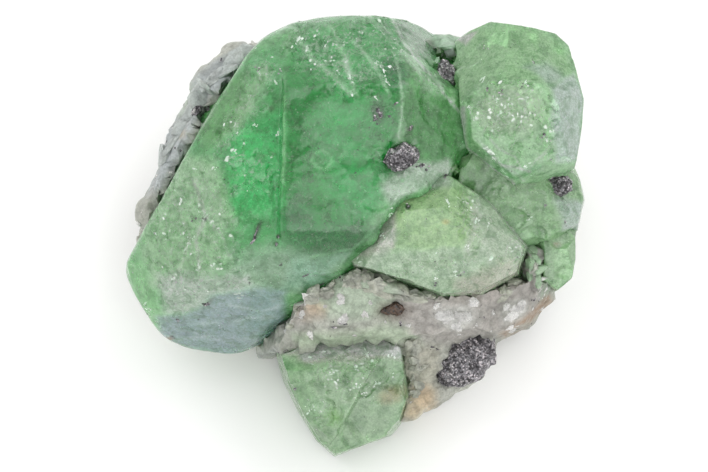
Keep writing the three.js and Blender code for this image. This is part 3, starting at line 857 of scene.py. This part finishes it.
add_crystal("edge_crystal", 8, 0.14, 1, 0, 1.95, (132, 166, 124), EDGE_MARKS, EDGE_FROST, yellow_green,
            "yellow_green_garnet", [(50, 0.6, 0.025, False)],
            ("middle_crystal", "corner_crystal", "large_crystal"))
add_crystal("small_crystal", 9, 0.14, 1, 0, 1.65, (150, 184, 142), SMALL_MARKS, [], pale_green,
            "pale_garnet", [(12, 0.6, 0.03, False)], ("middle_crystal", "edge_crystal"))

points, faces = prepared("matrix", 0.29, 2)
swell = fractal(points, 1.6, 3, 40.0) * 0.10
pebble = cells(points, 0.9, 12.0)
swell += (0.5 - pebble[:, 0]) * 0.16 + fractal(points, 0.35, 2, 60.0) * 0.04
points = along_normals(points, faces, swell)
points = chipped(points, faces, 77, 500, 0.5, 0.06)
points[:, 2] += level(points, faces, ROCK_LIFTS)
points = close_seams(points, list(shapes.values()))
tint = painted(points, faces, (172, 174, 164), MATRIX_MARKS, 1.0)
shapes["matrix"] = (points, faces)
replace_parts(make_object("matrix_rock", points, faces, rock_material, "rock", 35, tint=tint), "matrix")

# Crumbs of quartz on the rock, and dark flecks on rock and crystals.
places, normals = random_points(*shapes["matrix"], 700, 5)
sizes = 0.05 + 0.22 * draws(6).uniform(0, 1, len(places)) ** 3
lumps = crumbs(places, normals, sizes, 0.5, 7, 0.5, 0.4)
make_object("quartz_crumbs", *lumps, quartz_material, "rock", 25)

for short, host, count, seed, biggest in (
        ("rock", "matrix", 260, 15, 0.08), ("large", "large_crystal", 140, 16, 0.05),
        ("middle", "middle_crystal", 60, 17, 0.05), ("lower", "lower_crystal", 40, 18, 0.05),
        ("corner", "corner_crystal", 24, 19, 0.045)):
    places, normals = random_points(*shapes[host], count, seed)
    sizes = draws(seed + 1).uniform(0.03 if short == "rock" else 0.02, biggest, count)
    lumps = crumbs(places, normals, sizes, 0.5, seed + 2, 0.5)
    make_object("dark_flecks_" + short, *lumps, graphite_material, "graphite", 30)

# Veils inside the crystals, deep, and bright chips on them that stand for small breaks and painted glints: count,
# seed and biggest size of both.
HOSTS = (("large", "deep_green_garnet", (300, 31, 0.34), (150, 35, 0.13)),
         ("corner", "mint_garnet", (90, 32, 0.26), (60, 36, 0.12)),
         ("middle", "yellow_green_garnet", (110, 33, 0.28), (46, 37, 0.12)),
         ("lower", "pale_garnet", (90, 34, 0.28), (46, 38, 0.12)))
for kind, deep, material, smallest, power, loose, flat in (
        ("veils_", True, veil_material, 0.35, 1, 0.5, 0.06), ("glint_chips_", False, glint_chip_material, 0.15, 2, 0.3, 0.2)):
    for short, slot, veils, chips in HOSTS:
        count, seed, biggest = veils if deep else chips
        host = short + "_crystal"
        rng = draws(seed)
        places, normals = random_points(*shapes[host], count, seed, None if deep else frosts[host])
        sizes = biggest * rng.uniform(smallest, 1.0, count) ** power
        if deep:
            places = places - normals * (sizes * 0.9 + rng.uniform(0.05, 0.7, count))[:, None]
        lean = unit(normals + rng.normal(size=normals.shape) * loose)
        make_object(kind + short, *crumbs(places, lean, sizes, flat, seed + 1, 0.5), material, slot, 30)

# Marks that stand at their own places: x, y, length and width in picture dots, turn in degrees if any.
GLINTS = [
    (298, 40, 12, 6, 75), (256, 47, 5, 3, 40), (308, 50, 6, 4, 20), (331, 61, 7, 4, -30), (347, 60, 7, 3, -60),
    (351, 79, 8, 3, -60), (338, 72, 5, 3, 10), (259, 72, 5, 3, 60), (235, 123, 5, 3), (255, 125, 5, 3, 20),
    (278, 132, 6, 3, 80), (232, 150, 8, 5, 70), (228, 158, 5, 3, 30), (195, 168, 5, 3, 10), (213, 168, 4, 3),
    (394, 47, 4, 4), (400, 52, 9, 3, 30), (376, 61, 9, 2, -50), (383, 70, 11, 3, -60), (388, 82, 8, 2, -50),
    (375, 98, 7, 2, -50), (344, 44, 5, 3, 45), (330, 42, 5, 3, 80), (318, 33, 4, 3), (362, 34, 6, 3, 80),
    (450, 203, 13, 4, 80), (460, 199, 11, 2, -45), (470, 207, 7, 6), (477, 219, 7, 4, 60), (488, 224, 5, 3, 45),
    (467, 247, 5, 3, 60), (391, 212, 9, 3, 70), (382, 236, 6, 4), (360, 260, 5, 4, 30), (515, 248, 8, 3, 20),
    (520, 256, 7, 2, -60), (455, 273, 5, 3, 20), (434, 278, 5, 3), (530, 272, 9, 2, 85), (528, 220, 6, 3, 35),
    (483, 79, 8, 3, 80), (471, 108, 6, 4, 60), (476, 118, 7, 3, 70), (498, 98, 7, 3, 50), (507, 104, 9, 4, 60),
    (500, 114, 8, 4, 30), (512, 114, 6, 4), (520, 100, 9, 3, 25), (521, 117, 9, 4, 40), (531, 112, 6, 3, 70),
    (525, 84, 8, 3, 60), (545, 126, 6, 3, -40), (551, 132, 7, 3, -50), (547, 140, 4, 3), (487, 150, 9, 4, -20),
    (493, 158, 8, 3, -40), (527, 166, 7, 2, 40), (504, 172, 8, 2, -45), (323, 351, 5, 4), (330, 372, 7, 5, 20),
    (336, 382, 6, 3, -50), (358, 368, 8, 5), (367, 353, 11, 3, 85), (375, 384, 7, 4, 50), (357, 387, 5, 4),
    (364, 394, 5, 3), (312, 410, 6, 4, 60), (391, 356, 6, 4, 80), (144, 303, 5, 4, 60), (148, 310, 6, 3, -70),
    (238, 294, 9, 3, -20), (193, 238, 6, 3, 60), (205, 216, 7, 2, 70), (212, 222, 6, 2, 20), (188, 245, 7, 2, 60),
    (198, 268, 9, 3, 85), (176, 278, 7, 6), (218, 268, 8, 6, 30),
]
QUARTZ = [
    (340, 297, 10, 9), (343, 320, 16, 9), (324, 307, 4, 4), (279, 317, 7, 9, 70), (366, 303, 7, 12),
    (450, 316, 22, 16, 10), (468, 318, 22, 15, -10), (458, 328, 16, 12), (505, 316, 18, 12, 20),
    (519, 307, 16, 12, 30), (540, 290, 9, 4, 80), (476, 330, 5, 5), (312, 296, 20, 12, 10), (296, 312, 12, 9, 40),
    (463, 88, 9, 6, 60),
]
DARK_SPOTS = [
    (408, 207.5, 5, 5), (258, 229, 17, 3, 70), (254, 239, 8, 3, 50), (278, 237, 4, 4), (276, 245, 3, 3),
    (281, 264, 3, 3), (304, 276, 7, 3, 30), (322, 284, 5, 3, 50), (342, 279, 3, 3), (208, 302, 10, 3, 40),
    (171, 338, 5, 4), (178, 320, 5, 4, 60), (228, 282, 3, 3), (250, 284, 3, 3), (378, 110, 8, 6, 70),
    (376, 119, 7, 4, 20), (389, 116, 4, 3), (396, 103, 4, 3), (409, 129, 7, 3, 30), (339, 327, 15, 3, 2),
    (420, 168, 10, 5, 15), (427, 170, 5, 4), (445, 176, 5, 4), (486, 89, 5, 4), (501, 92, 4, 4, 60), (521, 88, 4, 3),
    (544, 135, 5, 4), (554, 160, 4, 3), (295, 388, 6, 3, 25), (435, 348, 9, 3, -30), (535, 301, 6, 4, 60),
    (545, 206, 3, 3), (567, 221, 5, 3, 60), (182, 150, 3, 3), (195, 219, 4, 3), (203, 218, 5, 3), (221, 58, 4, 3, 40),
    (258, 69, 4, 3, 60), (281, 71, 3, 2), (460, 275, 3, 3), (436, 284, 4, 3), (534, 61, 5, 2, -30),
    (484, 46, 9, 2, -40), (400, 324, 5, 4), (286, 352, 6, 2),
]
EYE = np.array([(PICTURE_WIDTH / 2 - PICTURE_MIDDLE[0]) / PICTURE_SCALE, 0.0, DISTANCE])
everything = tree_of(shapes.values())
rock_tree = tree_of([shapes["matrix"]])


def placed(marks, thick, seed, jag, sink, splinters=1, shrink=1.0, rock_only=False):
    """Uneven lumps, each where the line through its mark meets the specimen, split up into splinters."""
    rng = draws(seed)
    base, base_faces = ball(BALL_STEP)
    points, faces = [], []
    for x, y, long, wide, *turned in [m for m in marks for _ in range(splinters)]:
        turn = turned[0] if turned else 0
        if splinters > 1:
            slide, aside = rng.normal(size=2) * (0.30 * long, 0.45 * wide)
            tilt = math.radians(turn)
            x += slide * math.cos(tilt) - aside * math.sin(tilt)
            y -= slide * math.sin(tilt) + aside * math.cos(tilt)
            long, wide = np.array([long, wide]) * shrink * rng.uniform(0.5, 1.2)
            turn += rng.normal() * 25
        ray = unit(from_picture(x, y, 0.0) - EYE).tolist()
        hit, normal, _, far = everything.ray_cast(EYE.tolist(), ray)
        if hit is None or (rock_only and rock_tree.ray_cast(EYE.tolist(), ray, far + 1e-3)[0] is None):
            continue
        n = np.array(normal)
        along = np.array([math.cos(math.radians(turn)), math.sin(math.radians(turn)), 0.0])
        along = unit(along - n * (along @ n))
        across = np.cross(n, along)
        lump = base * (1 + jag * rng.uniform(-1, 1, (len(base), 1)))
        half = np.array([long, wide]) / 2 / PICTURE_SCALE
        high = half.min() * thick
        body = lump[:, :1] * along * half[0] + lump[:, 1:2] * across * half[1] + lump[:, 2:] * n * high
        faces.append(base_faces + len(points) * len(base))
        points.append(np.array(hit) + n * high * (1 - 2 * sink) + body)
    return np.concatenate(points), np.concatenate(faces)


def row(step, long, wide, *numbers):
    """Marks set side by side along a line."""
    marks, corners = [], pairs(numbers)
    for (x0, y0), (x1, y1) in zip(corners, corners[1:]):
        count = max(1, round(math.hypot(x1 - x0, y1 - y0) / step))
        turn = math.degrees(math.atan2(y0 - y1, x1 - x0))
        marks += [(x0 + (x1 - x0) * k / count, y0 + (y1 - y0) * k / count, long, wide, turn) for k in range(count)]
    return marks


ROCK_SEAMS = (row(6, 20, 14, 334, 268, 372, 283, 404, 293, 440, 298)
              + row(6, 18, 12, 352, 270, 382, 275, 402, 281) + row(6, 18, 12, 500, 288, 522, 276)
              + row(6, 14, 10, 411, 342, 416, 372, 412, 396)
              + row(6, 16, 12, 346, 264, 318, 290, 284, 308, 276, 334))
GREEN_SEAMS = row(5, 18, 14, 524, 246, 532, 268, 538, 284)
RIM_SEAMS = row(11, 34, 24, 242, 56, 212, 80, 196, 104, 178, 134, 162, 160, 142, 190) + [
    (448, 52, 20, 14, 20), (440, 56, 14, 12)]
GARNET_SEAMS = [(455, 173, 14, 10), (464, 158, 12, 12), (446, 59, 12, 12)]
for name, marks, thick, jag, splinters, seed, colour, material, slot in (
        ("seam_rock", ROCK_SEAMS, 0.6, 0.32, 2, 44, (176, 178, 164), rock_material, "rock"),
        ("seam_green", GREEN_SEAMS, 0.6, 0.25, 2, 47, (158, 188, 154), rock_material, "rock"),
        ("seam_rim", RIM_SEAMS, 0.28, 0.16, 1, 45, (182, 190, 186), rock_material, "rock"),
        ("seam_garnet", GARNET_SEAMS, 1.4, 0.3, 2, 46, (124, 166, 112), yellow_green, "yellow_green_garnet")):
    points, faces = placed(marks, thick, seed, jag, 0.5, splinters, 0.9, name != "seam_garnet")
    tint = np.tile(np.minimum(linear(colour), BRIGHTEST), (len(points), 1))
    make_object(name, points, faces, material, slot, 24 if jag > 0.2 else 60, tint=tint, frost=np.zeros(len(points)))

# Near-white chips at the GLINTS places: painted glints, partly real bright breaks.
make_object("glints", *placed(GLINTS, 0.25, 41, 0.5, 0.45, 5, 0.42), glint_chip_material, "pale_garnet", 30)
make_object("quartz_lumps", *placed(QUARTZ, 0.28, 42, 0.3, 0.55, 3, 0.75, True), quartz_material, "rock", 30)
make_object("dark_spots", *placed(DARK_SPOTS, 0.3, 43, 0.5, 0.45, 3, 0.6), graphite_material, "graphite", 30)

# Floor, light and camera.
HORIZON, ZENITH = 1.2, 0.68  # brightness of the sky low down and straight above
SKY_TURN = 0.45  # height from which the sky fades towards the zenith, 0 to 1
FLOOR = 3.0  # side of the floor, m
LIT = (0, 0, 6)  # what the lamps point at, mm
SENSOR = 36  # width of the camera's sensor, mm
bpy.ops.mesh.primitive_plane_add(size=FLOOR, location=(0, 0, 0))
floor = bpy.context.object
floor.name = "floor"
paper = Nodes("floor_paper")
paper.set(Base_Color=paper.mix(paper.noise(0.02, 2), (243, 243, 242), (247, 247, 246)), Roughness=0.9,
          Specular_IOR_Level=0.1)
floor.data.materials.append(paper.material)

world = bpy.data.worlds.new("studio")
scene.world = world
world.use_nodes = True
sky = world.node_tree
where = sky.nodes.new("ShaderNodeTexCoord")
split = sky.nodes.new("ShaderNodeSeparateXYZ")
fade = sky.nodes.new("ShaderNodeMapRange")
fade.interpolation_type = "SMOOTHSTEP"
for key, value in (("From Min", SKY_TURN), ("From Max", 1.0), ("To Min", HORIZON), ("To Max", ZENITH)):
    fade.inputs[key].default_value = value
sky.links.new(where.outputs["Generated"], split.inputs["Vector"])
sky.links.new(split.outputs["Z"], fade.inputs["Value"])
sky.links.new(fade.outputs["Result"], sky.nodes["Background"].inputs["Strength"])
sky.nodes["Background"].inputs["Color"].default_value = (1.0, 1.0, 1.0, 1)


def soft_light(name, place_mm, size_mm, watts):
    data = bpy.data.lights.new(name, "AREA")
    data.shape = "DISK"
    data.size = size_mm * MM
    data.energy = watts
    lamp = add_object(name, data)
    lamp.location = Vector(place_mm) * MM
    lamp.rotation_euler = (Vector(place_mm) - Vector(LIT)).to_track_quat("Z", "Y").to_euler()


soft_light("key", (95, 75, 150), 140, 0.09)
soft_light("fill", (-110, 60, 150), 140, 0.07)
soft_light("front", (30, -130, 140), 160, 0.10)

camera_data = bpy.data.cameras.new("camera")
camera = add_object("camera", camera_data)
camera_data.sensor_width = SENSOR
camera_data.lens = SENSOR * DISTANCE / (PICTURE_WIDTH / PICTURE_SCALE)
camera_data.clip_start = 0.01
camera_data.clip_end = 10
camera.location = Vector(to_world(EYE[None])[0])
camera.rotation_euler = (LEAN, 0, 0)
scene.camera = camera
scene.view_settings.view_transform = "Standard"
